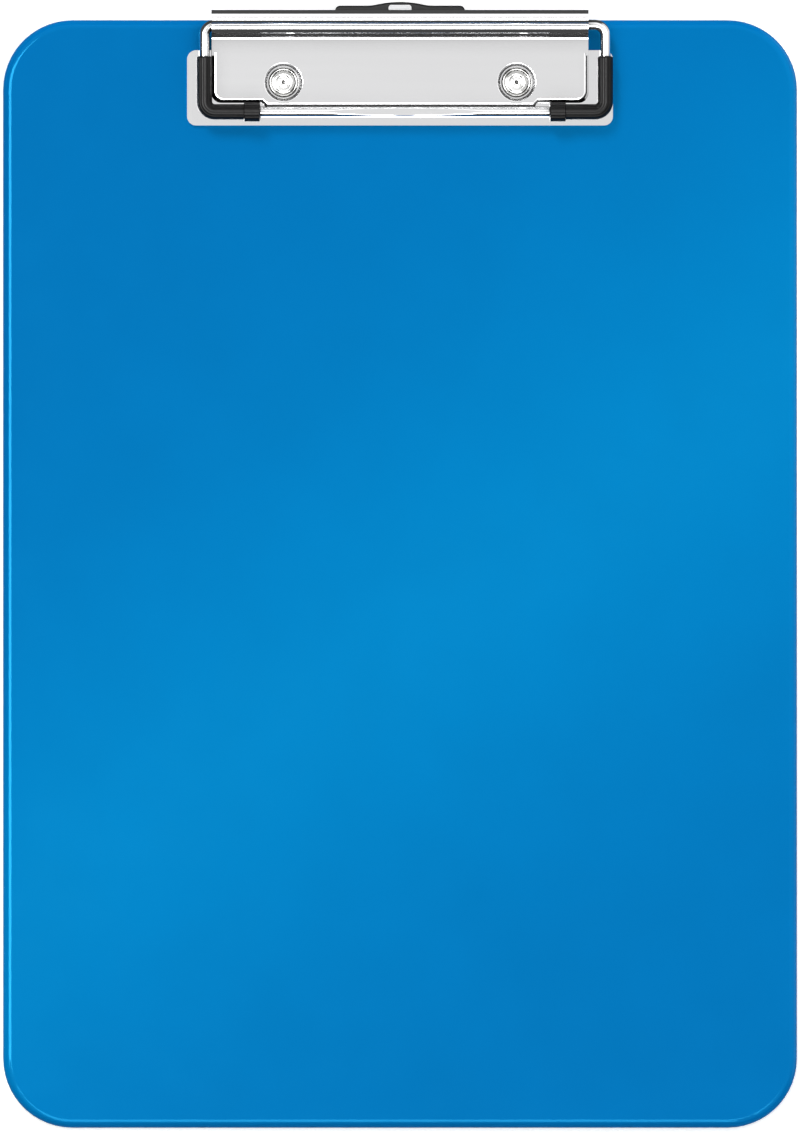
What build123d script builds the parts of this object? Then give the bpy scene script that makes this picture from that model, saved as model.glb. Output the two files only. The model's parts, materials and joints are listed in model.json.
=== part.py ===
from build123d import *
import os
from math import atan2, cos, degrees, hypot, radians, sin, sqrt

# A4 clipboard with a spring-wire bow clip and a pull-out hanging tab. Millimetres.
# Origin: centre of the board's back face. X to the right, Y to the head edge, Z out of the writing face.

# ---- Board ----
BOARD_WIDTH = 229.0
BOARD_LENGTH = 319.5
BOARD_THICKNESS = 3.0
BOARD_CORNER = 20.0
FACE_EDGE_ROUND = 2.4
BACK_EDGE_ROUND = 0.4
HEAD = BOARD_LENGTH / 2  # the head edge; places on the clip are counted from it, minus is down the board

# ---- Base plate: one drawn sheet ----
PLATE_SHEET = 0.8
FLANGE_WIDTH = 122.8
FLANGE_FRONT = -30.4
FLANGE_REAR = -8.7
FLANGE_CORNER = 2.6
PLATEAU_RISE = 4.1  # top of the plateau above the board
PLATEAU_HALF = 53.8
PLATEAU_FRONT = -24.7
CUFF_SETBACK = 1.3  # the plateau's front stands back this much where the rubber cuffs run
SETBACK_HALF = 38.6
WALL_LEAN = 0.8  # how far a drawn side wall leans out from top to foot
FRONT_LEAN = 0.6
PLATEAU_CORNER = 3.0
PLATEAU_EDGE_ROUND = 0.9
CUP_TOP_RADIUS = 5.5
CUP_FLOOR_RADIUS = 4.75
CUP_SLOPE_DEPTH = 0.8  # the cup's mouth slopes in over this depth, then its wall is straight
CUP_RIM_ROUND = 0.25

# ---- Hinge ----
HINGE_BACK = -1.45
HINGE_HEIGHT = 7.0
HOOD_RADIUS = 3.2
HOOD_END_ANGLE = 75.0  # the hood stops just behind its top, ahead of the lever
HOOD_BEND = 1.2  # hollow bend between plateau and hood
EAR_HALF = 54.3
EAR_HOLE_RADIUS = 1.75

# ---- Spring wire ----
WIRE_RADIUS = 1.5
WIRE_BEND = 3.0
ARM_HALF = 57.8
SIDE_PLAY = 1.4  # the bow has slid this far to the right in its ears
BAR_BACK = -26.5
BAR_HEIGHT = 6.7
STUB_END = 36.0
LEG_GAP = 0.3
LEG_HALF = 23.5
LEG_REACH = -14.5
LEG_DIVE = 40.0  # degrees below level
LEG_BEND = 2.4
LEG_CLEARANCE = 0.15
BAR_FLAT_DEPTH = 0.45
BAR_FLAT_HALF = 22.0

# ---- Lever: one sheet, rolled round the wire below and rolled to a thumb edge above ----
LEVER_SHEET = 0.6
CURL_FIT = 0.05
LEVER_ROLL_BACK = 0.6
LEVER_ROLL_HEIGHT = 14.6
LEVER_CURL = 300.0  # degrees of each roll
LEVER_TUCK = 53.2  # half width between the ears
LEVER_SHOULDER = 3.9  # the lever is full width from here up
LEG_WINDOW_REAR = 1.3  # the windows for the legs run this far behind the hinge axis

# ---- Rubber corner sleeves ----
SLEEVE_RADIUS = 2.25
SLEEVE_TOP = -10.4
SLEEVE_FRONT_LENGTH = 18.5
CUFF_RADIUS = 2.8
CUFF_LENGTH = 4.7
SLEEVE_FIT = 0.01

# ---- Rivets ----
RIVET_HALF_SPACING = 33.6
RIVET_BACK = -17.95
RIVET_HEAD_RADIUS = 4.4
SHANK_RADIUS = 2.3
SHANK_FIT = 0.05
WASHER_RADIUS = 5.3
WASHER_THICKNESS = 0.6
POCKET_RADIUS = 5.5
POCKET_DEPTH = 1.2
TAIL_RADIUS = 3.6
TAIL_RECESS = 0.1
TAIL_EDGE = 0.2
RIVET_RIM = 0.35  # height of the head's straight rim
RING_TOP = 0.95  # the head's outer ring, over the plate
RING_HALF = 3.2  # middle of that ring
GROOVE_RADIUS = 2.9
GROOVE_HEIGHT = 0.75
DOME_RADIUS = 2.5
DOME_SIDE = 1.3
DOME_TOP = 1.45
DOME_TOP_RADIUS = 1.8
DISH_RADIUS = 1.5
DISH_HEIGHT = 1.1
DIMPLE_RADIUS = 0.75
DIMPLE_HEIGHT = 0.3

# ---- Hanging tab and its guide ----
TONGUE_HALF = 14.0
TONGUE_THICKNESS = 1.0
TONGUE_CLEARANCE = 0.1
TAB_TRAVEL = 12.0
STOP_HALF = 16.0
STOP_LENGTH = 1.3
HEAD_HALF = 18.7
HEAD_FRONT = 0.6
HEAD_WING = 4.15
HEAD_ARCH = 5.2
ARCH_HALF = 8.0
HEAD_BOTTOM = 2.2
HEAD_TOP = 4.8
HEAD_EDGE_ROUND = 0.6
HEAD_END_ROUND = 1.4
ARCH_BLEND = 12.0
WINDOW_HALF = 3.3
WINDOW_FRONT = -4.2
WINDOW_REAR = 4.4
WINDOW_CORNER = 0.8
GUIDE_FRONT = -9.8
GUIDE_LENGTH = 3.0
GUIDE_SHEET = 0.6
GUIDE_FOOT = 3.2
GUIDE_CLEARANCE = 0.2

# ---- Worked out from the above ----
HINGE_Y = HEAD + HINGE_BACK
PLATE_FOOT = BOARD_THICKNESS + PLATE_SHEET
PLATEAU_TOP = BOARD_THICKNESS + PLATEAU_RISE
PLATEAU_UNDER = PLATEAU_TOP - PLATE_SHEET
CUP_SLOPE_FOOT = PLATEAU_TOP - CUP_SLOPE_DEPTH
OVERRUN = 2.0  # how far the drawing is made past the line where its rear is cut open
CURL_INNER = WIRE_RADIUS + CURL_FIT
CURL_OUTER = CURL_INNER + LEVER_SHEET
TONGUE_BOTTOM = BOARD_THICKNESS + TONGUE_CLEARANCE
TONGUE_TOP = TONGUE_BOTTOM + TONGUE_THICKNESS
LEG_HEIGHT = BOARD_THICKNESS + WIRE_RADIUS + LEG_CLEARANCE
STOP_REAR = GUIDE_FRONT - TAB_TRAVEL - GUIDE_CLEARANCE
BAR_FLAT_RADIUS = BAR_FLAT_HALF**2 / (2 * BAR_FLAT_DEPTH)
ARCH_RISE = HEAD_ARCH - HEAD_WING
ARCH_RADIUS = (ARCH_HALF**2 + ARCH_RISE**2) / (2 * ARCH_RISE)

os.makedirs("parts", exist_ok=True)


def save(part, name):
    """Labels one finished piece and writes it as its own STEP file."""
    part.label = name
    export_step(part, f"parts/{name}.step")


def about_hinge(radius, angle):
    """A point in the Y-Z plane at this radius and angle about the hinge axis; 0 degrees is rearward."""
    return (HINGE_Y + radius * cos(radians(angle)), HINGE_HEIGHT + radius * sin(radians(angle)))


# ---- Board: moulded plastic, holes for the rivets with washer pockets in the back ----
with BuildPart() as board:
    with BuildSketch():
        RectangleRounded(BOARD_WIDTH, BOARD_LENGTH, BOARD_CORNER)
    extrude(amount=BOARD_THICKNESS)
    fillet(board.edges().group_by(Axis.Z)[-1], FACE_EDGE_ROUND)
    fillet(board.edges().group_by(Axis.Z)[0], BACK_EDGE_ROUND)
    for side in (-1, 1):
        with Locations(Location((side * RIVET_HALF_SPACING, HEAD + RIVET_BACK, 0), (180, 0, 0))):
            CounterBoreHole(SHANK_RADIUS + SHANK_FIT, POCKET_RADIUS, POCKET_DEPTH)
save(board.part, "board")


# ---- Base plate ----
def plateau_outline(inset, lean):
    """The plateau's outline; lean is 0 at its top and 1 at the board, inset is inward from the outer wall."""
    half = PLATEAU_HALF + lean * WALL_LEAN - inset
    front = HEAD + PLATEAU_FRONT - lean * FRONT_LEAN + inset
    setback = front + CUFF_SETBACK
    step = SETBACK_HALF - inset
    rear = HEAD + FLANGE_REAR + OVERRUN
    with BuildSketch() as outline:
        with BuildLine():
            Polyline(
                (-half, rear),
                (-half, setback),
                (-step - CUFF_SETBACK, setback),
                (-step, front),
                (step, front),
                (step + CUFF_SETBACK, setback),
                (half, setback),
                (half, rear),
                close=True,
            )
        make_face()
    return outline.sketch


def plateau_block(inset, top):
    """The solid under a plateau surface, from the board up to the given height."""
    full_lean = (top - BOARD_THICKNESS) / PLATEAU_RISE
    with BuildPart() as block:
        with BuildSketch(Plane.XY.offset(BOARD_THICKNESS)):
            add(plateau_outline(inset, full_lean))
        with BuildSketch(Plane.XY.offset(top)):
            add(plateau_outline(inset, 0))
        loft()
        standing = block.faces().sort_by(Axis.Y)[:-1].edges().filter_by(
            lambda e: e.bounding_box().size.Z > PLATEAU_RISE / 2
        )
        front_edges = [e for e in standing if e.center().Y < HEAD + FLANGE_FRONT / 2 - PLATE_SHEET]
        corners = [e for e in front_edges if abs(e.center().X) > PLATEAU_HALF - 2 * PLATE_SHEET]
        fillet(corners, PLATEAU_CORNER - inset)
        round_size = PLATEAU_EDGE_ROUND if inset == 0 else PLATEAU_EDGE_ROUND - PLATE_SHEET
        rim = block.faces().sort_by(Axis.Z)[-1].edges()
        fillet([e for e in rim if e.center().Y < HEAD + FLANGE_REAR + OVERRUN / 2], round_size)
    return block.part


PLATEAU_OUTSIDE = plateau_block(0, PLATEAU_TOP)
PLATEAU_INSIDE = plateau_block(PLATE_SHEET, PLATEAU_UNDER)
RIVET_PLACES = [(side * RIVET_HALF_SPACING, HEAD + RIVET_BACK) for side in (-1, 1)]

with BuildPart() as cup_walls:
    with Locations(*[(x, y, BOARD_THICKNESS + PLATEAU_RISE / 2) for x, y in RIVET_PLACES]):
        Cone(CUP_FLOOR_RADIUS + PLATE_SHEET, CUP_TOP_RADIUS + PLATE_SHEET, PLATEAU_RISE)
    add(PLATEAU_OUTSIDE, mode=Mode.INTERSECT)

with BuildPart() as drawn_plate:
    with BuildSketch(Plane.XY.offset(BOARD_THICKNESS)):
        with Locations((0, HEAD + (FLANGE_FRONT + FLANGE_REAR) / 2)):
            RectangleRounded(FLANGE_WIDTH, FLANGE_REAR - FLANGE_FRONT, FLANGE_CORNER)
    extrude(amount=PLATE_SHEET)
    add(PLATEAU_OUTSIDE)
    add(PLATEAU_INSIDE, mode=Mode.SUBTRACT)
    add(cup_walls.part)
    with Locations(*[(x, y, (PLATE_FOOT + CUP_SLOPE_FOOT) / 2) for x, y in RIVET_PLACES]):
        Cylinder(CUP_FLOOR_RADIUS, CUP_SLOPE_FOOT - PLATE_FOOT, mode=Mode.SUBTRACT)
    with Locations(*[(x, y, (CUP_SLOPE_FOOT + PLATEAU_TOP) / 2) for x, y in RIVET_PLACES]):
        Cone(CUP_FLOOR_RADIUS, CUP_TOP_RADIUS, CUP_SLOPE_DEPTH, mode=Mode.SUBTRACT)
    circles = drawn_plate.edges().filter_by(GeomType.CIRCLE)
    fillet([e for e in circles if abs(e.radius - CUP_TOP_RADIUS) < CUP_RIM_ROUND], CUP_RIM_ROUND)
    with Locations(*[(x, y, PLATE_FOOT) for x, y in RIVET_PLACES]):
        Hole(SHANK_RADIUS + SHANK_FIT)
    # The rear of the drawing is left open: the hood carries on from here.
    with Locations((0, HEAD + FLANGE_REAR, BOARD_THICKNESS)):
        Box(
            2 * FLANGE_WIDTH,
            BOARD_CORNER,
            BOARD_CORNER,
            align=(Align.CENTER, Align.MIN, Align.CENTER),
            mode=Mode.SUBTRACT,
        )

# The hood's section: plateau sheet, hollow bend, then round the hinge axis.
BEND_RISE = PLATEAU_TOP + HOOD_BEND - HINGE_HEIGHT
BEND_REACH = sqrt((HOOD_RADIUS + HOOD_BEND) ** 2 - BEND_RISE**2)
BEND_CENTRE = (HINGE_Y - BEND_REACH, PLATEAU_TOP + HOOD_BEND)
BEND_ANGLE = degrees(atan2(BEND_RISE, BEND_REACH))
HOOD_START = 180 - BEND_ANGLE
HOOD_SWEEP = HOOD_START - HOOD_END_ANGLE
SHEET_START = HEAD + FLANGE_REAR - PLATE_SHEET

with BuildPart() as base_plate:
    add(drawn_plate.part)
    with BuildSketch(Plane.YZ):
        with BuildLine():
            Line((SHEET_START, PLATEAU_UNDER), (SHEET_START, PLATEAU_TOP))
            Line((SHEET_START, PLATEAU_TOP), (BEND_CENTRE[0], PLATEAU_TOP))
            CenterArc(BEND_CENTRE, HOOD_BEND, -90, 90 - BEND_ANGLE)
            CenterArc((HINGE_Y, HINGE_HEIGHT), HOOD_RADIUS, HOOD_END_ANGLE, HOOD_SWEEP)
            Line(
                about_hinge(HOOD_RADIUS, HOOD_END_ANGLE),
                about_hinge(HOOD_RADIUS - PLATE_SHEET, HOOD_END_ANGLE),
            )
            CenterArc((HINGE_Y, HINGE_HEIGHT), HOOD_RADIUS - PLATE_SHEET, HOOD_END_ANGLE, HOOD_SWEEP)
            CenterArc(BEND_CENTRE, HOOD_BEND + PLATE_SHEET, -90, 90 - BEND_ANGLE)
            Line((BEND_CENTRE[0], PLATEAU_UNDER), (SHEET_START, PLATEAU_UNDER))
        make_face()
    extrude(amount=EAR_HALF, both=True)
    # Ears: the side walls folded down at both ends of the hood, holed for the wire.
    for side in (-1, 1):
        with BuildSketch(Plane.YZ.offset(side * EAR_HALF)):
            with Locations((HINGE_Y, HINGE_HEIGHT)):
                Circle(HOOD_RADIUS)
            ear_front = SHEET_START - PLATE_SHEET
            with Locations((ear_front, BOARD_THICKNESS)):
                Rectangle(
                    HINGE_Y - ear_front,
                    PLATEAU_TOP - BOARD_THICKNESS,
                    align=(Align.MIN, Align.MIN),
                )
            with Locations((HINGE_Y, BOARD_THICKNESS)):
                Rectangle(
                    2 * HOOD_RADIUS,
                    HINGE_HEIGHT - BOARD_THICKNESS,
                    align=(Align.CENTER, Align.MIN),
                )
            with Locations((HINGE_Y, HINGE_HEIGHT)):
                Circle(EAR_HOLE_RADIUS, mode=Mode.SUBTRACT)
        extrude(amount=-side * PLATE_SHEET)
save(base_plate.part, "base_plate")

# ---- Lever ----
ROLL_Y = HEAD + LEVER_ROLL_BACK
BLADE_LENGTH = hypot(ROLL_Y - HINGE_Y, LEVER_ROLL_HEIGHT - HINGE_HEIGHT)
LEVER_LEAN = degrees(atan2(ROLL_Y - HINGE_Y, LEVER_ROLL_HEIGHT - HINGE_HEIGHT))


def on_blade(out, up):
    """A point in the Y-Z plane: out from the hinge axis across the blade, and up along it."""
    y = HINGE_Y + out * cos(radians(LEVER_LEAN)) + up * sin(radians(LEVER_LEAN))
    z = HINGE_HEIGHT - out * sin(radians(LEVER_LEAN)) + up * cos(radians(LEVER_LEAN))
    return (y, z)


def roll(centre, turn):
    """One rolled end of the sheet: both faces and the end edge, starting from the blade."""
    end = radians(-LEVER_LEAN + turn)
    CenterArc(centre, CURL_OUTER, -LEVER_LEAN, turn)
    CenterArc(centre, CURL_INNER, -LEVER_LEAN, turn)
    Line(
        (centre[0] + CURL_INNER * cos(end), centre[1] + CURL_INNER * sin(end)),
        (centre[0] + CURL_OUTER * cos(end), centre[1] + CURL_OUTER * sin(end)),
    )


with BuildPart() as lever:
    with BuildSketch(Plane.YZ):
        with BuildLine():
            roll((HINGE_Y, HINGE_HEIGHT), -LEVER_CURL)
            Line(on_blade(CURL_INNER, 0), on_blade(CURL_INNER, BLADE_LENGTH))
            roll((ROLL_Y, LEVER_ROLL_HEIGHT), LEVER_CURL)
            Line(on_blade(CURL_OUTER, BLADE_LENGTH), on_blade(CURL_OUTER, 0))
        make_face()
    extrude(amount=LEVER_TUCK, both=True)
    with BuildSketch(Plane.YZ):
        with BuildLine():
            Line(on_blade(CURL_OUTER, LEVER_SHOULDER), on_blade(CURL_INNER, LEVER_SHOULDER))
            Line(on_blade(CURL_INNER, LEVER_SHOULDER), on_blade(CURL_INNER, BLADE_LENGTH))
            roll((ROLL_Y, LEVER_ROLL_HEIGHT), LEVER_CURL)
            Line(on_blade(CURL_OUTER, BLADE_LENGTH), on_blade(CURL_OUTER, LEVER_SHOULDER))
        make_face()
    extrude(amount=EAR_HALF, both=True)
    # Windows in the curl, where the two torsion legs come out forward.
    leg_room = WIRE_RADIUS + LEG_CLEARANCE
    for side in (-1, 1):
        inner_side = LEG_HALF + side * SIDE_PLAY - leg_room
        outer_side = LEG_HALF + side * SIDE_PLAY + leg_room + LEG_BEND
        with Locations((side * (inner_side + outer_side) / 2, HINGE_Y + LEG_WINDOW_REAR, HINGE_HEIGHT)):
            Box(
                outer_side - inner_side,
                2 * CURL_OUTER,
                4 * CURL_OUTER,
                align=(Align.CENTER, Align.MAX, Align.CENTER),
                mode=Mode.SUBTRACT,
            )
save(lever.part, "lever")


# ---- Spring wire ----
def bow_point(x, back, height):
    """A point on the wire, with the bow's side play added."""
    return (x + SIDE_PLAY, HEAD + back, height)


with BuildPart() as wire_bow:
    with BuildLine() as bow_path:
        FilletPolyline(
            bow_point(-STUB_END, HINGE_BACK, HINGE_HEIGHT),
            bow_point(-ARM_HALF, HINGE_BACK, HINGE_HEIGHT),
            bow_point(-ARM_HALF, BAR_BACK, BAR_HEIGHT),
            bow_point(ARM_HALF, BAR_BACK, BAR_HEIGHT),
            bow_point(ARM_HALF, HINGE_BACK, HINGE_HEIGHT),
            bow_point(STUB_END, HINGE_BACK, HINGE_HEIGHT),
            radius=WIRE_BEND,
        )
    with BuildSketch(Plane(origin=bow_path.line @ 0, z_dir=bow_path.line % 0)):
        Circle(WIRE_RADIUS)
    sweep(path=bow_path.line)
    # The middle of the front bar is pressed flat on top, fading out towards both sides.
    flat_centre = BAR_HEIGHT + WIRE_RADIUS - BAR_FLAT_DEPTH + BAR_FLAT_RADIUS
    with Locations(Location(bow_point(0, BAR_BACK, flat_centre), (90, 0, 0))):
        Cylinder(BAR_FLAT_RADIUS, 4 * WIRE_RADIUS, mode=Mode.SUBTRACT)
save(wire_bow.part, "wire_bow")

# The inner ends of the same wire: twisted, bent forward and held still under the plateau.
dive_run = (HINGE_HEIGHT - LEG_HEIGHT) / sin(radians(LEG_DIVE)) * cos(radians(LEG_DIVE))
for name, side in (("torsion_leg_left", -1), ("torsion_leg_right", 1)):
    with BuildPart() as torsion_leg:
        with BuildLine() as leg_path:
            FilletPolyline(
                bow_point(side * (STUB_END - LEG_GAP), HINGE_BACK, HINGE_HEIGHT),
                bow_point(side * LEG_HALF, HINGE_BACK, HINGE_HEIGHT),
                bow_point(side * LEG_HALF, HINGE_BACK - dive_run, LEG_HEIGHT),
                bow_point(side * LEG_HALF, LEG_REACH, LEG_HEIGHT),
                radius=LEG_BEND,
            )
        with BuildSketch(Plane(origin=leg_path.line @ 0, z_dir=leg_path.line % 0)):
            Circle(WIRE_RADIUS)
        sweep(path=leg_path.line)
        fillet(torsion_leg.edges().filter_by(GeomType.CIRCLE).sort_by(Axis.Y)[0], WIRE_RADIUS / 3)
    save(torsion_leg.part, name)

# ---- Rubber sleeves on the bow's front corners ----
ARM_SLOPE = (HINGE_HEIGHT - BAR_HEIGHT) / (HINGE_BACK - BAR_BACK)
sleeve_top_height = BAR_HEIGHT + ARM_SLOPE * (SLEEVE_TOP - BAR_BACK)
sleeve_end = ARM_HALF + SLEEVE_RADIUS - SLEEVE_FRONT_LENGTH
for name, side in (("corner_sleeve_left", -1), ("corner_sleeve_right", 1)):
    with BuildPart() as corner_sleeve:
        with BuildLine() as sleeve_path:
            FilletPolyline(
                bow_point(side * ARM_HALF, SLEEVE_TOP, sleeve_top_height),
                bow_point(side * ARM_HALF, BAR_BACK, BAR_HEIGHT),
                bow_point(side * sleeve_end, BAR_BACK, BAR_HEIGHT),
                radius=WIRE_BEND,
            )
        with BuildSketch(Plane(origin=sleeve_path.line @ 0, z_dir=sleeve_path.line % 0)):
            Circle(SLEEVE_RADIUS)
        sweep(path=sleeve_path.line)
        cuff_middle = side * (sleeve_end + CUFF_LENGTH / 2)
        with Locations(Location(bow_point(cuff_middle, BAR_BACK, BAR_HEIGHT), (0, 90, 0))):
            Cylinder(CUFF_RADIUS, CUFF_LENGTH)
        with BuildSketch(Plane(origin=sleeve_path.line @ 0, z_dir=sleeve_path.line % 0)):
            Circle(WIRE_RADIUS + SLEEVE_FIT)
        sweep(path=sleeve_path.line, mode=Mode.SUBTRACT)
    save(corner_sleeve.part, name)

# ---- Rivets and the washers they are clinched over ----
tail_top = POCKET_DEPTH - WASHER_THICKNESS
for suffix, (x, y) in zip(("left", "right"), RIVET_PLACES):
    with BuildPart() as rivet:
        with BuildSketch(Plane(origin=(x, y, 0), x_dir=(1, 0, 0), z_dir=(0, -1, 0))):
            with BuildLine():
                Polyline(
                    (0, TAIL_RECESS),
                    (TAIL_RADIUS - TAIL_EDGE, TAIL_RECESS),
                    (TAIL_RADIUS, tail_top - TAIL_EDGE),
                    (TAIL_RADIUS - TAIL_EDGE, tail_top),
                    (SHANK_RADIUS, tail_top),
                    (SHANK_RADIUS, PLATE_FOOT),
                    (RIVET_HEAD_RADIUS, PLATE_FOOT),
                    (RIVET_HEAD_RADIUS, PLATE_FOOT + RIVET_RIM),
                    (RIVET_HEAD_RADIUS - RIVET_RIM, PLATE_FOOT + RING_TOP - RIVET_RIM / 2),
                    (RING_HALF, PLATE_FOOT + RING_TOP),
                    (GROOVE_RADIUS, PLATE_FOOT + GROOVE_HEIGHT),
                    (DOME_RADIUS, PLATE_FOOT + DOME_SIDE),
                    (DOME_TOP_RADIUS, PLATE_FOOT + DOME_TOP),
                    (DISH_RADIUS, PLATE_FOOT + DISH_HEIGHT),
                    (DIMPLE_RADIUS, PLATE_FOOT + DISH_HEIGHT),
                    (DIMPLE_RADIUS / 2, PLATE_FOOT + DIMPLE_HEIGHT),
                    (0, PLATE_FOOT + DIMPLE_HEIGHT),
                    close=True,
                )
            make_face()
        revolve(axis=Axis((x, y, 0), (0, 0, 1)))
    save(rivet.part, f"rivet_{suffix}")
    with BuildPart() as rivet_washer:
        with BuildSketch(Plane.XY.offset(tail_top)):
            with Locations((x, y)):
                Circle(WASHER_RADIUS)
                Circle(SHANK_RADIUS + SHANK_FIT, mode=Mode.SUBTRACT)
        extrude(amount=WASHER_THICKNESS)
        outer_rim = rivet_washer.edges().filter_by(GeomType.CIRCLE).sort_by(SortBy.RADIUS)[-2:]
        chamfer(outer_rim, WASHER_THICKNESS / 6)
    save(rivet_washer.part, f"rivet_washer_{suffix}")

# ---- Hanging tab: thin tongue under the clip, thick head past the board's edge ----
stop_front = STOP_REAR - STOP_LENGTH
with BuildPart() as hanging_tab:
    with BuildSketch(Plane.XY.offset(HEAD_BOTTOM)):
        with Locations((0, HEAD + HEAD_FRONT)):
            Rectangle(2 * HEAD_HALF, HEAD_WING - HEAD_FRONT, align=(Align.CENTER, Align.MIN))
        with Locations((0, HEAD + HEAD_ARCH - ARCH_RADIUS)):
            Circle(ARCH_RADIUS)
        with Locations((0, HEAD + HEAD_FRONT)):
            Rectangle(
                4 * ARCH_RADIUS,
                4 * ARCH_RADIUS,
                align=(Align.CENTER, Align.MAX),
                mode=Mode.SUBTRACT,
            )
    extrude(amount=HEAD_TOP - HEAD_BOTTOM)
    upright = hanging_tab.edges().filter_by(Axis.Z)
    fillet([e for e in upright if abs(e.center().X) > HEAD_HALF - HEAD_END_ROUND], HEAD_END_ROUND)
    fillet([e for e in upright if abs(e.center().X) < ARCH_HALF + HEAD_END_ROUND], ARCH_BLEND)
    fillet(hanging_tab.edges().group_by(Axis.Z)[-1], HEAD_EDGE_ROUND)
    fillet(hanging_tab.edges().group_by(Axis.Z)[0], HEAD_EDGE_ROUND)
    with BuildSketch(Plane.XY.offset(TONGUE_BOTTOM)):
        with Locations((0, HEAD + stop_front)):
            Rectangle(
                2 * TONGUE_HALF,
                HEAD_FRONT + TONGUE_THICKNESS - stop_front,
                align=(Align.CENTER, Align.MIN),
            )
            Rectangle(2 * STOP_HALF, STOP_LENGTH, align=(Align.CENTER, Align.MIN))
    extrude(amount=TONGUE_THICKNESS)
    with BuildSketch(Plane.XY.offset(HEAD_BOTTOM)):
        with Locations((0, HEAD + (WINDOW_FRONT + WINDOW_REAR) / 2)):
            RectangleRounded(2 * WINDOW_HALF, WINDOW_REAR - WINDOW_FRONT, WINDOW_CORNER)
    extrude(amount=HEAD_TOP - HEAD_BOTTOM, mode=Mode.SUBTRACT)
save(hanging_tab.part, "hanging_tab")

# ---- Tab guide: a strap hung under the plateau, with a wall on each side of the tongue ----
guide_wall = TONGUE_HALF + GUIDE_CLEARANCE
guide_under = TONGUE_TOP + GUIDE_CLEARANCE
with BuildPart() as tab_guide:
    with BuildSketch(Plane.XZ.offset(-(HEAD + GUIDE_FRONT))):
        with Locations((0, guide_under)):
            Rectangle(2 * (guide_wall + GUIDE_SHEET), GUIDE_SHEET, align=(Align.CENTER, Align.MIN))
        for side in (-1, 1):
            with Locations((side * (guide_wall + GUIDE_SHEET / 2), BOARD_THICKNESS + TONGUE_CLEARANCE)):
                Rectangle(GUIDE_SHEET, PLATEAU_UNDER - TONGUE_BOTTOM, align=(Align.CENTER, Align.MIN))
            with Locations((side * (guide_wall + GUIDE_FOOT / 2), PLATEAU_UNDER)):
                Rectangle(GUIDE_FOOT, GUIDE_SHEET, align=(Align.CENTER, Align.MAX))
    extrude(amount=-GUIDE_LENGTH)
save(tab_guide.part, "tab_guide")
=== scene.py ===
# %% [markdown]
# # A clipboard with a spring-wire clip
# The solid model of the clipboard is a finished frame: a blue moulded board and a plated clip, sorted into
# three bodies, the board, the bow that swings and the hanging tab that slides. This notebook gives the
# frame its finishes, remakes the pieces whose surface carries the detail, and lights them like a table-top
# product. Everything is in metres, in the frame's own axes: X to the right, Y to the head of the board,
# Z out of the writing face.

# %% Load the frame
import json
from math import cos, pi, radians, sin

import bmesh
import bpy
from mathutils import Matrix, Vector


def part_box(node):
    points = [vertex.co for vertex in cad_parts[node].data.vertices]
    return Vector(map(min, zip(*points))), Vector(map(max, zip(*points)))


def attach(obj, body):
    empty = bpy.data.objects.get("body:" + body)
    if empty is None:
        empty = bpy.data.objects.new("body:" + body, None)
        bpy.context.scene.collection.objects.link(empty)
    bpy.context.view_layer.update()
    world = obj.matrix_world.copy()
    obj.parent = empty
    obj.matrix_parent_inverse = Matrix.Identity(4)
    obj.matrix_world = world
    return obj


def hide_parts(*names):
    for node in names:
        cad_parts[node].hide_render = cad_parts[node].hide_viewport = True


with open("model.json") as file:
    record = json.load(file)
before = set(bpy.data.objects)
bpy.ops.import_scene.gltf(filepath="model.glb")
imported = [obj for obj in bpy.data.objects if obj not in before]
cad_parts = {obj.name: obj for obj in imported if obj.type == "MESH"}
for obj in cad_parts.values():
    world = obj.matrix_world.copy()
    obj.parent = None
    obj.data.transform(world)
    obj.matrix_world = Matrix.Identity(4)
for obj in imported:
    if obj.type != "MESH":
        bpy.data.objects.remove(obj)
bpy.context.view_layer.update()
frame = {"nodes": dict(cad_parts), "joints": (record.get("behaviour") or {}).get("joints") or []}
NODES = frame["nodes"]
print("nodes:", ", ".join(sorted(NODES)))

# %% [markdown]
# Sizes on this object are a few millimetres, so they are written in millimetres and turned to metres where
# they are used. Places come from the frame: the box of a node, or the axis of a joint.


# %% Units and places
def mm(value):
    """Millimetres to metres."""
    return value / 1000


HINGE = Vector(next(j["pos_m"] for j in frame["joints"] if j["name"] == "clip_open"))
BOARD_LOW, BOARD_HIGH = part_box("board")
BOARD_TOP = BOARD_HIGH.z
print("hinge axis at", [round(v * 1000, 2) for v in HINGE], "mm")

# %% [markdown]
# A colour written as a hex code is an sRGB value, but a shader wants linear light. One function turns a hex
# code into linear values, so every colour below can be read as the colour one sees.


# %% Colours
def colour(code):
    """An sRGB hex code such as "#1E90FF" as linear RGBA."""
    values = [int(code[i : i + 2], 16) / 255 for i in (1, 3, 5)]
    linear = [v / 12.92 if v <= 0.04045 else ((v + 0.055) / 1.055) ** 2.4 for v in values]
    return (*linear, 1.0)


# %% [markdown]
# All trees in this notebook, for materials, for the world and for Geometry Nodes, are made with one helper.
# It adds a node, sets its properties, and fills its inputs: an input given a socket is linked, and any
# other value is typed in.


# %% A node helper
def add(tree, kind, inputs=None, **settings):
    """Adds a node; inputs maps a socket's name or number to a value or to another node's output."""
    node = tree.nodes.new(kind)
    for name, value in settings.items():
        setattr(node, name, value)
    for name, value in (inputs or {}).items():
        socket = node.inputs[name]
        if isinstance(value, bpy.types.NodeSocket):
            tree.links.new(value, socket)
        else:
            socket.default_value = value
    return node


# %% [markdown]
# ## Camera
# A clipboard is shown the way it is used, flat on the table and seen from straight above. A very long lens
# far away keeps the raised lever from leaning outward in the picture. It is no longer than this, because a
# camera turned to another side stands back by its lens, and the object must stay inside the clip distance.

# %% Camera
LENS = 1000.0  # mm
SENSOR = 36.0  # mm, along the picture's long side
VIEW_HEIGHT = mm(326.5)
VIEW_RISE = mm(2.3)  # the picture's centre is this far above the board's centre

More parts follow.
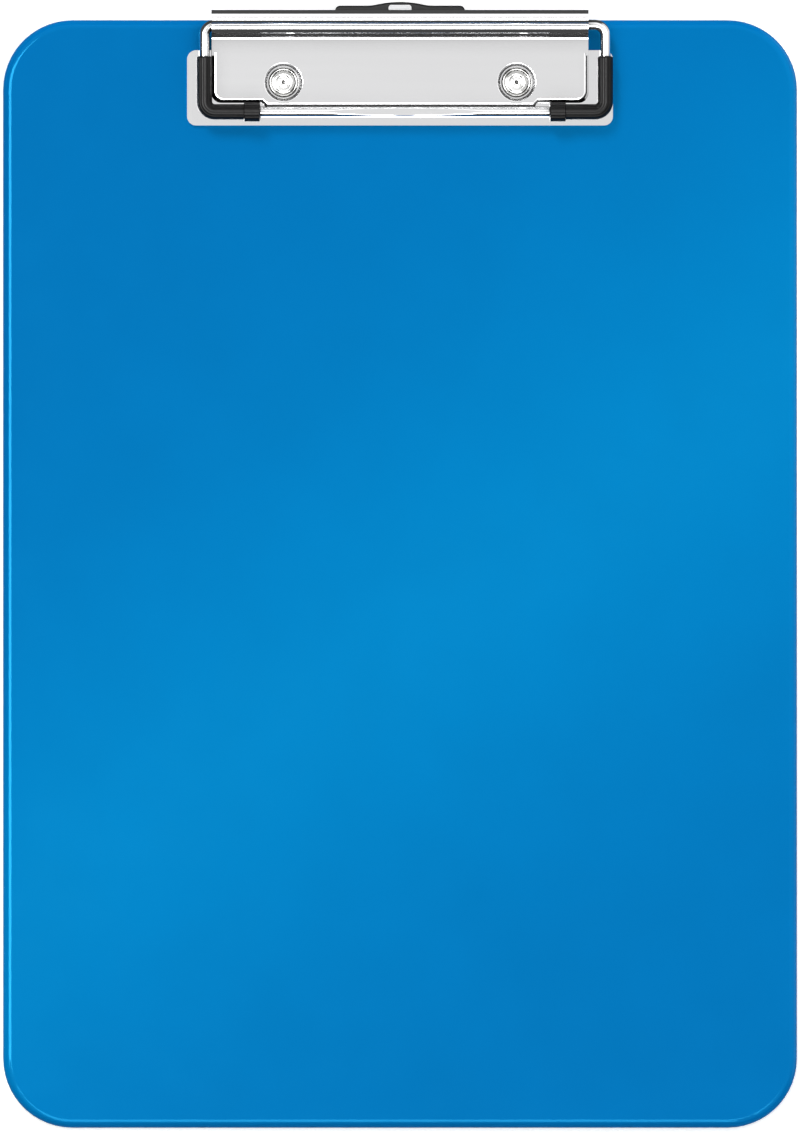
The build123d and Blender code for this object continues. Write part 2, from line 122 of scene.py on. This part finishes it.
camera_data = bpy.data.cameras.new("camera")
camera_data.lens = LENS
camera_data.sensor_width = SENSOR
camera_data.clip_start = 0.1
camera_data.clip_end = 100.0
camera = bpy.data.objects.new("camera", camera_data)
camera.location = (0, (BOARD_LOW.y + BOARD_HIGH.y) / 2 + VIEW_RISE, BOARD_TOP + VIEW_HEIGHT * LENS / SENSOR)
bpy.context.scene.collection.objects.link(camera)
bpy.context.scene.camera = camera
print("camera height", round(camera.location.z, 2), "m")

# %% [markdown]
# ## Studio
# Plated metal shows nothing but the room around it, so the room is designed by direction. Overhead is a
# wide pale ceiling, 48 degrees to each side of a line that leans a little back, which makes the white bands
# on the rolled edges. Below it the room is dark, which draws the dark lines beside those bands. A port
# straight overhead, where the camera is, is dimmer than the ceiling and sets the tone of the flat sheet.
# A pale wall on the right is mirrored by the steep faces that look that way.

# %% Studio room
CEILING_EDGE = cos(radians(48))
CEILING_SOFT = 0.07
CEILING_AIM = Vector((0.05, 0.09, 1)).normalized()  # the middle of the ceiling, a little behind the clip
CEILING_LIGHT = 1.25
PORT_EDGE = cos(radians(9))
PORT_SOFT = 0.01
PORT_SHARE = 0.63  # light straight overhead, as a share of the ceiling's
ROOM_LIGHT = 0.07
WALL_AIM = Vector((1, 0.35, 0.15)).normalized()
WALL_EDGE = cos(radians(34))
WALL_SOFT = 0.12
WALL_LIGHT = 0.75

world = bpy.data.worlds.new("studio")
bpy.context.scene.world = world
world.use_nodes = True
room = world.node_tree
room.nodes.clear()
aim = add(room, "ShaderNodeTexCoord").outputs["Generated"]
height = add(room, "ShaderNodeSeparateXYZ", {0: aim}).outputs["Z"]
overhead = add(
    room, "ShaderNodeVectorMath", {0: aim, 1: CEILING_AIM}, operation="DOT_PRODUCT"
).outputs["Value"]
ceiling = add(
    room,
    "ShaderNodeMapRange",
    {
        "Value": overhead,
        "From Min": CEILING_EDGE - CEILING_SOFT,
        "From Max": CEILING_EDGE,
        "To Min": ROOM_LIGHT,
        "To Max": CEILING_LIGHT,
    },
    interpolation_type="SMOOTHSTEP",
).outputs[0]
port = add(
    room,
    "ShaderNodeMapRange",
    {
        "Value": height,
        "From Min": PORT_EDGE - PORT_SOFT,
        "From Max": PORT_EDGE,
        "To Min": 1,
        "To Max": PORT_SHARE,
    },
    interpolation_type="SMOOTHSTEP",
).outputs[0]
sideways = add(
    room, "ShaderNodeVectorMath", {0: aim, 1: WALL_AIM}, operation="DOT_PRODUCT"
).outputs["Value"]
wall = add(
    room,
    "ShaderNodeMapRange",
    {
        "Value": sideways,
        "From Min": WALL_EDGE - WALL_SOFT,
        "From Max": WALL_EDGE,
        "To Min": 0,
        "To Max": WALL_LIGHT,
    },
    interpolation_type="SMOOTHSTEP",
).outputs[0]
above = add(room, "ShaderNodeMath", {0: ceiling, 1: port}, operation="MULTIPLY").outputs[0]
strength = add(room, "ShaderNodeMath", {0: above, 1: wall}, operation="ADD").outputs[0]
background = add(room, "ShaderNodeBackground", {"Color": (1, 1, 1, 1), "Strength": strength})
add(room, "ShaderNodeOutputWorld", {"Surface": background.outputs[0]})
print("room built with", len(room.nodes), "nodes")

# %% [markdown]
# Lamps add what the room can't. A key lamp at the upper left gives the clip its short soft shadow to the
# right and below. A long soft strip hangs low across the board, from lower left to upper right, and makes
# the broad diagonal glow on the blue plastic. Both light surfaces without being mirrored in the metal. Two
# panels, one on the left and one in front, do the opposite: they are seen only in reflections, and draw the
# bright line along the board's rounded left and bottom edges.


# %% Lamps
def area_lamp(name, place, target, size, watts, tint):
    """A rectangular lamp at place, facing target; its long side is level."""
    data = bpy.data.lights.new(name, "AREA")
    data.shape = "RECTANGLE"
    data.size, data.size_y = size
    data.energy = watts
    data.color = colour(tint)[:3]
    lamp = bpy.data.objects.new(name, data)
    lamp.location = place
    lamp.rotation_euler = (Vector(place) - Vector(target)).to_track_quat("Z", "Y").to_euler()
    lamp.visible_camera = False
    bpy.context.scene.collection.objects.link(lamp)
    return lamp


KEY_STRENGTH = 1.25
KEY_SPREAD = radians(16)
KEY_FROM = Vector((-0.45, 1.1, 1.0))
key_data = bpy.data.lights.new("key", "SUN")
key_data.energy = KEY_STRENGTH
key_data.angle = KEY_SPREAD
key = bpy.data.objects.new("key", key_data)
key.rotation_euler = KEY_FROM.to_track_quat("Z", "Y").to_euler()
key.visible_glossy = False
key.visible_camera = False
bpy.context.scene.collection.objects.link(key)

STRIP_TURN = radians(34)
STRIP_RISE = mm(80)
STRIP_SIZE = (mm(560), mm(40))
STRIP_POWER = 0.13
STRIP_Y = mm(-18)
strip_place = (0, STRIP_Y, BOARD_TOP + STRIP_RISE)
strip = area_lamp("strip", strip_place, (0, STRIP_Y, 0), STRIP_SIZE, STRIP_POWER, "#FFFFC0")
strip.rotation_euler = (0, 0, STRIP_TURN)
strip.visible_glossy = False

PANEL_DISTANCE = 1.6
PANEL_SIZE = (0.75, 0.75)
PANEL_SLOPE = radians(24)  # from straight up
PANELS = (("left_panel", (-1, 0.1), 30), ("front_panel", (0, -1), 12))  # name, side, watts
for name, side, watts in PANELS:
    spot = [PANEL_DISTANCE * sin(PANEL_SLOPE) * v for v in side]
    place = (*spot, PANEL_DISTANCE * cos(PANEL_SLOPE))
    panel = area_lamp(name, place, (0, 0, 0), PANEL_SIZE, watts, "#FFFFFF")
    panel.visible_diffuse = False

# %% [markdown]
# The picture is kept in plain sRGB, without a film-like curve, so that white stays white and the blue keeps
# its strength.

# %% Picture
bpy.context.scene.view_settings.view_transform = "Standard"
bpy.context.scene.view_settings.look = "None"
bpy.context.scene.view_settings.exposure = 0.0
bpy.context.scene.view_settings.gamma = 1.0


# %% [markdown]
# ## Finishes
# Every finish is named for the real one. Patterns are sized in millimetres: a noise texture's scale is the
# number of its cells in one metre, so a grain of 0.5 mm has a scale of 1 / 0.0005.


# %% Starting a material
def finish(name):
    """An empty material with a shader, and its tree and object-coordinate output."""
    material = bpy.data.materials.new(name)
    material.use_nodes = True
    tree = material.node_tree
    tree.nodes.clear()
    shader = add(tree, "ShaderNodeBsdfPrincipled")
    add(tree, "ShaderNodeOutputMaterial", {"Surface": shader.outputs[0]})
    place = add(tree, "ShaderNodeTexCoord").outputs["Object"]
    return material, tree, shader, place


def cells(tree, place, size, detail=2.0, roughness=0.5):
    """Noise whose cells are this many metres across; returns its value."""
    inputs = {"Vector": place, "Scale": 1 / size, "Detail": detail, "Roughness": roughness}
    return add(tree, "ShaderNodeTexNoise", inputs).outputs["Fac"]


def between(tree, value, low, high):
    """Stretches a noise value, which stays near the middle, over a range."""
    inputs = {"Value": value, "From Min": 0.3, "From Max": 0.7, "To Min": low, "To Max": high}
    return add(tree, "ShaderNodeMapRange", inputs).outputs[0]


def bump(tree, shader, heights, depth):
    """Raises the surface by heights times depth, in metres."""
    node = add(tree, "ShaderNodeBump", {"Height": heights, "Distance": depth, "Strength": 1.0})
    tree.links.new(node.outputs[0], shader.inputs["Normal"])


# %% [markdown]
# ### Board: high-impact polystyrene, injection moulded
# The mould is polished, so the plastic is glossy. What gives it away as plastic is a very slight
# unevenness, seen as a soft waviness in reflections, and the colour, which is dyed through.

# %% Polystyrene
polystyrene, tree, shader, place = finish("polystyrene_gloss_blue")
dye = add(
    tree,
    "ShaderNodeMix",
    {0: between(tree, cells(tree, place, mm(30)), 0.0, 1.0), 6: colour("#006DB2"), 7: colour("#006FB5")},
    data_type="RGBA",
).outputs[2]
tree.links.new(dye, shader.inputs["Base Color"])
tree.links.new(between(tree, cells(tree, place, mm(12)), 0.10, 0.13), shader.inputs["Roughness"])
shader.inputs["IOR"].default_value = 1.59
shader.inputs["Specular IOR Level"].default_value = 0.3
shader.inputs["Specular Tint"].default_value = colour("#3FD0FF")  # for a cyan edge
bump(tree, shader, cells(tree, place, mm(6), detail=1.0), mm(0.002))

# %% [markdown]
# ### Clip: bright nickel on drawn steel
# Bright nickel is a clear mirror. The strip under it was rolled, which leaves very fine streaks along its
# length, so reflections are a little soft. The room is plainer than a real one, and leaves corners and
# hollows too bright. So shade is painted into the colour: the tone is darkened by how enclosed a place is.
# This painted shade is a correction, not a property of nickel, and the flat flange is left almost out of it.


# %% Nickel
# painted shade: how far ambient occlusion reaches, how strongly it darkens the colour, and how the flange is
# kept out of it
HOLLOW_REACH = mm(6)
HOLLOW_POWER = 1.4
HOLLOW_SAMPLES = 8
FLANGE_TOP = BOARD_TOP + mm(0.85)
FLANGE_FADE = mm(0.2)
FLANGE_SHARE = 0.95  # how open the flange counts as, at least


def nickel(name, tint, low, high, grain, depth, stretch=1.0):
    """Plated steel: roughness between low and high, with grain this many metres across, drawn out in X, and
    painted shade in hollows.
    """
    material, tree, shader, place = finish(name)
    drawn = add(tree, "ShaderNodeMapping", {"Vector": place, "Scale": (1 / stretch, 1, 1)}).outputs[0]
    # painted shade: where ambient occlusion finds a corner or hollow, the base colour is mixed toward dark
    # #2B2A28
    open_share = add(
        tree, "ShaderNodeAmbientOcclusion", {"Distance": HOLLOW_REACH}, samples=HOLLOW_SAMPLES
    ).outputs["AO"]
    deep = add(tree, "ShaderNodeMath", {0: open_share, 1: HOLLOW_POWER}, operation="POWER").outputs[0]
    level = add(tree, "ShaderNodeSeparateXYZ", {0: place}).outputs["Z"]
    flange = {
        "Value": level,
        "From Min": FLANGE_TOP,
        "From Max": FLANGE_TOP + FLANGE_FADE,
        "To Min": FLANGE_SHARE,
        "To Max": 0,
    }
    on_flange = add(tree, "ShaderNodeMapRange", flange).outputs[0]
    unshaded_share = add(tree, "ShaderNodeMath", {0: deep, 1: on_flange}, operation="MAXIMUM").outputs[0]
    tone = add(
        tree,
        "ShaderNodeMix",
        {0: unshaded_share, 6: colour("#2B2A28"), 7: colour(tint)},
        data_type="RGBA",
    ).outputs[2]
    tree.links.new(tone, shader.inputs["Base Color"])
    shader.inputs["Metallic"].default_value = 1.0
    tree.links.new(between(tree, cells(tree, drawn, grain * 4), low, high), shader.inputs["Roughness"])
    bump(tree, shader, cells(tree, drawn, grain), depth)
    return material


sheet_nickel = nickel("bright_nickel_on_drawn_sheet", "#F5F5F6", 0.07, 0.09, mm(0.5), mm(0.0003), stretch=40)
wire_nickel = nickel("bright_nickel_on_spring_wire", "#F3F3F4", 0.06, 0.10, mm(0.5), mm(0.0005), stretch=8)
rivet_nickel = nickel("bright_nickel_on_rivet_steel", "#F1F1EF", 0.08, 0.13, mm(0.5), mm(0.001))

# %% [markdown]
# ### Corner sleeves: black soft PVC tube
# Extruded soft vinyl is nearly black with a satin skin, and fine dust and flow marks break up its
# highlight.

# %% Soft vinyl
vinyl, tree, shader, place = finish("soft_vinyl_black")
tone = add(
    tree,
    "ShaderNodeMix",
    {0: between(tree, cells(tree, place, mm(1.2)), 0.0, 1.0), 6: colour("#0A0B0C"), 7: colour("#141213")},
    data_type="RGBA",
).outputs[2]
tree.links.new(tone, shader.inputs["Base Color"])
tree.links.new(between(tree, cells(tree, place, mm(0.8)), 0.36, 0.48), shader.inputs["Roughness"])
shader.inputs["IOR"].default_value = 1.53
shader.inputs["Specular IOR Level"].default_value = 0.16
bump(tree, shader, cells(tree, place, mm(0.35), detail=3.0), mm(0.015))

# %% [markdown]
# ### Hanging tab: black nylon, spark-eroded mould
# A fine even texture hides finger marks and spreads the highlight.

# %% Nylon
nylon, tree, shader, place = finish("nylon_black")
tree.links.new(between(tree, cells(tree, place, mm(1.0)), 0.36, 0.48), shader.inputs["Roughness"])
shader.inputs["Base Color"].default_value = colour("#0B0B0A")
shader.inputs["IOR"].default_value = 1.53
shader.inputs["Specular IOR Level"].default_value = 0.3
bump(tree, shader, cells(tree, place, mm(0.25), detail=2.0), mm(0.01))

# %% Give the carried-over pieces their finishes
FINISH = {
    "board": polystyrene,
    "base_plate": sheet_nickel,
    "tab_guide": sheet_nickel,
    "lever": sheet_nickel,
    "wire_bow": wire_nickel,
    "torsion_leg_left": wire_nickel,
    "torsion_leg_right": wire_nickel,
    "rivet_left": rivet_nickel,
    "rivet_right": rivet_nickel,
    "rivet_washer_left": rivet_nickel,
    "rivet_washer_right": rivet_nickel,
    "corner_sleeve_left": vinyl,
    "corner_sleeve_right": vinyl,
    "hanging_tab": nylon,
}
for name, material in FINISH.items():
    NODES[name].material_slots[0].material = material
print("finishes on", len(FINISH), "nodes")

# %% [markdown]
# ## Pieces remade in detail
# The wire, its sleeves and the rivets carry the small detail of the clip. They are made with Geometry Nodes
# and small mesh code, and each takes the place of its plain node. Two helpers do the handling: one builds
# an empty geometry tree with named inputs, and one runs a tree on an object and keeps the result as a plain
# mesh, facing outwards.


# %% Geometry tree helpers
def geometry_tree(name, sizes):
    """A geometry tree whose inputs are a Geometry, a Material and the named sizes."""
    tree = bpy.data.node_groups.new(name, "GeometryNodeTree")
    face = tree.interface
    face.new_socket("Geometry", in_out="OUTPUT", socket_type="NodeSocketGeometry")
    face.new_socket("Geometry", in_out="INPUT", socket_type="NodeSocketGeometry")
    face.new_socket("Material", in_out="INPUT", socket_type="NodeSocketMaterial")
    for label in sizes:
        face.new_socket(label, in_out="INPUT", socket_type="NodeSocketFloat")
    return tree, add(tree, "NodeGroupInput").outputs, add(tree, "NodeGroupOutput")


def close_tree(tree, result, geometry, material):
    """Ends a tree as the export needs: real geometry with its material."""
    real = add(tree, "GeometryNodeRealizeInstances", {0: geometry}).outputs[0]
    painted = add(tree, "GeometryNodeSetMaterial", {"Geometry": real, "Material": material}).outputs[0]
    tree.links.new(painted, result.inputs[0])


def run_tree(name, mesh, tree, values):
    """Runs a tree on a mesh and returns an object with the result as its own plain mesh."""
    source = bpy.data.objects.new(name, mesh)
    bpy.context.scene.collection.objects.link(source)
    modifier = source.modifiers.new("making", "NODES")
    modifier.node_group = tree
    for item in tree.interface.items_tree:
        if item.in_out == "INPUT" and item.name in values:
            modifier[item.identifier] = values[item.name]
    seen = source.evaluated_get(bpy.context.evaluated_depsgraph_get())
    made = bpy.data.meshes.new_from_object(seen)
    source.modifiers.remove(modifier)
    source.data = made
    face_outwards(made)
    print(name, len(made.vertices), "points")
    return source


def face_outwards(mesh):
    """Joins doubled points, turns the faces outwards and smooths all but sharp edges."""
    shape = bmesh.new()
    shape.from_mesh(mesh)
    bmesh.ops.remove_doubles(shape, verts=shape.verts, dist=mm(0.001))
    bmesh.ops.recalc_face_normals(shape, faces=shape.faces)
    shape.to_mesh(mesh)
    shape.free()
    mesh.shade_smooth()
    mesh.set_sharp_from_angle(angle=radians(40))


def polyline(name, points):
    """A mesh of edges through the points, for a tree to turn into a curve."""
    mesh = bpy.data.meshes.new(name)
    mesh.from_pydata([tuple(p) for p in points], [(i, i + 1) for i in range(len(points) - 1)], [])
    return mesh


# %% [markdown]
# ### Spring wire bow
# The bow is one length of spring wire, bent round at four corners, with the middle of its front bar pressed
# flat by a tool. A swept curve is the natural way to make it: the tree rounds the corners of a route, runs
# a circle along it, and then pushes down whatever stands above the tool's shallow arc.

# %% Wire tree
WIRE_STEPS = 48
WIRE_STRIDE = mm(0.6)
BEND_STEPS = 16

wire_tree, sizes, result = geometry_tree(
    "bent_wire", ("Radius", "Bend", "Flat height", "Flat curve", "Flat centre")
)
route = add(wire_tree, "GeometryNodeMeshToCurve", {0: sizes["Geometry"]}).outputs[0]
rounded = add(
    wire_tree,
    "GeometryNodeFilletCurve",
    {"Curve": route, "Radius": sizes["Bend"], "Count": BEND_STEPS},
    mode="POLY",
).outputs[0]
even = add(
    wire_tree, "GeometryNodeResampleCurve", {"Curve": rounded, "Length": WIRE_STRIDE}, mode="LENGTH"
).outputs[0]
section = add(
    wire_tree, "GeometryNodeCurvePrimitiveCircle", {"Resolution": WIRE_STEPS, "Radius": sizes["Radius"]}
)
swept = add(
    wire_tree,
    "GeometryNodeCurveToMesh",
    {"Curve": even, "Profile Curve": section.outputs[0], "Fill Caps": True},
).outputs[0]
spot = add(wire_tree, "ShaderNodeSeparateXYZ", {0: add(wire_tree, "GeometryNodeInputPosition").outputs[0]})
along = add(
    wire_tree, "ShaderNodeMath", {0: spot.outputs["X"], 1: sizes["Flat centre"]}, operation="SUBTRACT"
)
squared = add(wire_tree, "ShaderNodeMath", {0: along.outputs[0], 1: 2.0}, operation="POWER")
tool = add(
    wire_tree,
    "ShaderNodeMath",
    {0: squared.outputs[0], 1: sizes["Flat curve"], 2: sizes["Flat height"]},
    operation="MULTIPLY_ADD",
)
pressed = add(wire_tree, "ShaderNodeMath", {0: spot.outputs["Z"], 1: tool.outputs[0]}, operation="MINIMUM")
moved = add(
    wire_tree,
    "ShaderNodeCombineXYZ",
    {"X": spot.outputs["X"], "Y": spot.outputs["Y"], "Z": pressed.outputs[0]},
)
bent = add(wire_tree, "GeometryNodeSetPosition", {"Geometry": swept, "Position": moved.outputs[0]}).outputs[0]
close_tree(wire_tree, result, bent, sizes["Material"])
print("wire tree:", len(wire_tree.nodes), "nodes")

# %% Wire bow
WIRE_RADIUS = mm(1.5)
WIRE_BEND = mm(3.0)
FLAT_DEPTH = mm(0.45)
FLAT_HALF = mm(22)
STUB_GAP = mm(0.3)

bow_low, bow_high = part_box("wire_bow")
arm_left, arm_right = bow_low.x + WIRE_RADIUS, bow_high.x - WIRE_RADIUS
bar_y, bar_z = bow_low.y + WIRE_RADIUS, bow_low.z + WIRE_RADIUS
stub_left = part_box("torsion_leg_left")[0].x - STUB_GAP
stub_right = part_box("torsion_leg_right")[1].x + STUB_GAP
bow_route = [
    (stub_left, HINGE.y, HINGE.z),
    (arm_left, HINGE.y, HINGE.z),
    (arm_left, bar_y, bar_z),
    (arm_right, bar_y, bar_z),
    (arm_right, HINGE.y, HINGE.z),
    (stub_right, HINGE.y, HINGE.z),
]
wire = run_tree(
    "spring_wire",
    polyline("spring_wire", bow_route),
    wire_tree,
    {
        "Material": wire_nickel,
        "Radius": WIRE_RADIUS,
        "Bend": WIRE_BEND,
        "Flat height": bar_z + WIRE_RADIUS - FLAT_DEPTH,
        "Flat curve": FLAT_DEPTH / FLAT_HALF**2,
        "Flat centre": (arm_left + arm_right) / 2,
    },
)
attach(wire, "bow")
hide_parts("wire_bow")

# %% [markdown]
# ### Corner sleeves
# Each front corner of the bow wears a length of ribbed vinyl tube, shrunk on, with a thicker cuff where it
# ends on the front bar. The tree sweeps a ribbed ring along the corner, and the ring's size changes on the
# way: it starts as a lip on the wire, runs as tube, and swells into the cuff.

# %% Sleeve tree
RIB_COUNT = 12
RIB_DEPTH = 0.045  # share of the radius
RIB_SHARPNESS = 3.0
SLEEVE_STEPS = 112
SLEEVE_STRIDE = mm(0.12)

sleeve_tree, sizes, result = geometry_tree(
    "ribbed_sleeve", ("Radius", "Wire radius", "Bend", "Cuff radius", "Cuff length", "Lip")
)


def sum_of(kind, *values, tree=sleeve_tree):
    """One math node on up to three values."""
    return add(tree, "ShaderNodeMath", dict(enumerate(values)), operation=kind).outputs[0]


def ease(value, start, end, low, high):
    """A smooth step from low to high as value goes from start to end."""
    inputs = {"Value": value, "From Min": start, "From Max": end, "To Min": low, "To Max": high}
    return add(sleeve_tree, "ShaderNodeMapRange", inputs, interpolation_type="SMOOTHSTEP").outputs[0]


route = add(sleeve_tree, "GeometryNodeMeshToCurve", {0: sizes["Geometry"]}).outputs[0]
rounded = add(
    sleeve_tree,
    "GeometryNodeFilletCurve",
    {"Curve": route, "Radius": sizes["Bend"], "Count": BEND_STEPS},
    mode="POLY",
).outputs[0]
even = add(
    sleeve_tree, "GeometryNodeResampleCurve", {"Curve": rounded, "Length": SLEEVE_STRIDE}, mode="LENGTH"
).outputs[0]
length = add(sleeve_tree, "GeometryNodeCurveLength", {0: even}).outputs[0]
gone = add(sleeve_tree, "GeometryNodeSplineParameter").outputs["Length"]
left = sum_of("SUBTRACT", length, gone)
lip = sum_of("DIVIDE", sizes["Wire radius"], sizes["Radius"])
cuff = sum_of("DIVIDE", sizes["Cuff radius"], sizes["Radius"])
half_lip = sum_of("MULTIPLY", sizes["Lip"], 0.5)
cuff_start = sum_of("ADD", sizes["Cuff length"], half_lip)
swell = ease(left, cuff_start, sizes["Cuff length"], 1.0, cuff)
tube = sum_of("MULTIPLY", ease(gone, 0.0, sizes["Lip"], lip, 1.0), swell)
size = sum_of("MINIMUM", tube, ease(left, 0.0, sizes["Lip"], lip, cuff))
ring = add(
    sleeve_tree, "GeometryNodeCurvePrimitiveCircle", {"Resolution": SLEEVE_STEPS, "Radius": sizes["Radius"]}
).outputs[0]
point = add(sleeve_tree, "GeometryNodeInputPosition").outputs[0]
point_xyz = add(sleeve_tree, "ShaderNodeSeparateXYZ", {0: point})
turn = sum_of("ARCTAN2", point_xyz.outputs["Y"], point_xyz.outputs["X"])
wave = sum_of("COSINE", sum_of("MULTIPLY", turn, float(RIB_COUNT)))
groove = sum_of("POWER", sum_of("MULTIPLY_ADD", wave, 0.5, 0.5), RIB_SHARPNESS)
pull = sum_of("MULTIPLY", groove, -RIB_DEPTH)
inward = add(sleeve_tree, "ShaderNodeVectorMath", {0: point, "Scale": pull}, operation="SCALE").outputs[0]
ribbed = add(sleeve_tree, "GeometryNodeSetPosition", {"Geometry": ring, "Offset": inward}).outputs[0]
swept = add(
    sleeve_tree,
    "GeometryNodeCurveToMesh",
    {"Curve": even, "Profile Curve": ribbed, "Scale": size, "Fill Caps": True},
).outputs[0]
close_tree(sleeve_tree, result, swept, sizes["Material"])
print("sleeve tree:", len(sleeve_tree.nodes), "nodes")

# %% Sleeves
SLEEVE_RADIUS = mm(2.25)
CUFF_RADIUS = mm(2.8)
CUFF_LENGTH = mm(4.7)
LIP = mm(0.45)

for side, arm_x in (("left", arm_left), ("right", arm_right)):
    node = f"corner_sleeve_{side}"
    low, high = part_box(node)
    inner_x = high.x if side == "left" else low.x
    rise = (HINGE.z - bar_z) / (HINGE.y - bar_y)
    sleeve_route = [
        (arm_x, high.y, bar_z + rise * (high.y - bar_y)),
        (arm_x, bar_y, bar_z),
        (inner_x, bar_y, bar_z),
    ]
    sleeve = run_tree(
        f"ribbed_sleeve_{side}",
        polyline(node + "_route", sleeve_route),
        sleeve_tree,
        {
            "Material": vinyl,
            "Radius": SLEEVE_RADIUS,
            "Wire radius": WIRE_RADIUS,
            "Bend": WIRE_BEND,
            "Cuff radius": CUFF_RADIUS,
            "Cuff length": CUFF_LENGTH,
            "Lip": LIP,
        },
    )
    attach(sleeve, "bow")
    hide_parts(node)

# %% [markdown]
# ### Rivets
# The rivets are turned steel: a domed ring, a groove, an inner ring, and the dimple left by the clinching
# tool. A turned part is a profile spun about its axis, so the profile is written out and spun once. A small
# tree then sets a copy on each rivet's place, which is how any fastener that repeats is best made.

# %% Rivet profile
LATHE_STEPS = 72
RING_STEPS = 10


def bead(middle, half, foot, rise):
    """Points over a rounded ring, from its inner side to its outer side, in the profile."""
    steps = [2 * i / RING_STEPS - 1 for i in range(RING_STEPS + 1)]
    return [(middle + half * t, foot + rise * (1 + cos(pi * t)) / 2) for t in steps]


plate_foot = mm(3.8)
head_profile = (
    [(0, 0.30), (0.3, 0.33), (0.42, 0.55), (0.5, 0.95), (0.62, 1.06)]
    + bead(1.10, 0.42, 1.04, 0.08)
    + [(1.62, 0.98)]
    + bead(2.42, 0.72, 1.00, 0.26)
    + [(3.2, 0.72)]
    + bead(3.80, 0.52, 0.62, 0.20)
    + [(4.38, 0.5), (4.4, 0.35), (4.4, 0.0)]
)
tail_profile = [(2.3, 0.0), (2.3, -3.2), (3.4, -3.2), (3.6, -3.4), (3.4, -3.7), (0, -3.7)]
profile = [(mm(r), plate_foot + mm(z)) for r, z in head_profile + tail_profile]

spun = bmesh.new()
ring_points = [spun.verts.new((r, 0, z)) for r, z in profile]
ring_edges = [spun.edges.new(pair) for pair in zip(ring_points, ring_points[1:])]
bmesh.ops.spin(
    spun, geom=ring_points + ring_edges, axis=(0, 0, 1), cent=(0, 0, 0), angle=2 * pi, steps=LATHE_STEPS
)
rivet_mesh = bpy.data.meshes.new("turned_rivet")
spun.to_mesh(rivet_mesh)
spun.free()
face_outwards(rivet_mesh)
turned = bpy.data.objects.new("turned_rivet", rivet_mesh)
print("rivet profile of", len(profile), "points")

# %% Set the rivets
rivet_tree, sizes, result = geometry_tree("set_fasteners", ())
rivet_tree.interface.new_socket("Fastener", in_out="INPUT", socket_type="NodeSocketObject")
fastener = add(rivet_tree, "GeometryNodeObjectInfo", {"Object": sizes["Fastener"]}).outputs["Geometry"]
spots = add(rivet_tree, "GeometryNodeMeshToPoints", {"Mesh": sizes["Geometry"]}).outputs[0]
copies = add(rivet_tree, "GeometryNodeInstanceOnPoints", {"Points": spots, "Instance": fastener}).outputs[0]
close_tree(rivet_tree, result, copies, sizes["Material"])

spots_mesh = bpy.data.meshes.new("rivet_places")
centres = [(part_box(n)[0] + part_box(n)[1]) / 2 for n in ("rivet_left", "rivet_right")]
spots_mesh.from_pydata([(c.x, c.y, 0) for c in centres], [], [])
rivets = run_tree("rivets", spots_mesh, rivet_tree, {"Material": rivet_nickel, "Fastener": turned})
bpy.data.objects.remove(turned)
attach(rivets, "board")
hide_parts("rivet_left", "rivet_right")

# %% [markdown]
# ## Table
# The board lies on a light table, a plain sheet of opal acrylic that glows a little from below, so the
# surroundings stay white right up to the object. Its glow is left out of mirror reflections, because a
# white floor would wash out the dark lines that give polished metal its shape.

# %% Table
TABLE_HALF = 3.0
TABLE_DROP = mm(0.05)
TABLE_GLOW = 0.3
acrylic, tree, shader, place = finish("opal_acrylic_white")
shader.inputs["Base Color"].default_value = colour("#FAFAFA")
shader.inputs["Roughness"].default_value = 0.8
shader.inputs["Specular IOR Level"].default_value = 0.1
shader.inputs["Emission Color"].default_value = colour("#FFFFFF")
shader.inputs["Emission Strength"].default_value = TABLE_GLOW
table_mesh = bpy.data.meshes.new("table")
corners = [(x, y, BOARD_LOW.z - TABLE_DROP) for x, y in ((-1, -1), (1, -1), (1, 1), (-1, 1))]
table_mesh.from_pydata([(x * TABLE_HALF, y * TABLE_HALF, z) for x, y, z in corners], [], [(0, 1, 2, 3)])
table = bpy.data.objects.new("table", table_mesh)
bpy.context.scene.collection.objects.link(table)
table_mesh.materials.append(acrylic)
table.visible_glossy = False
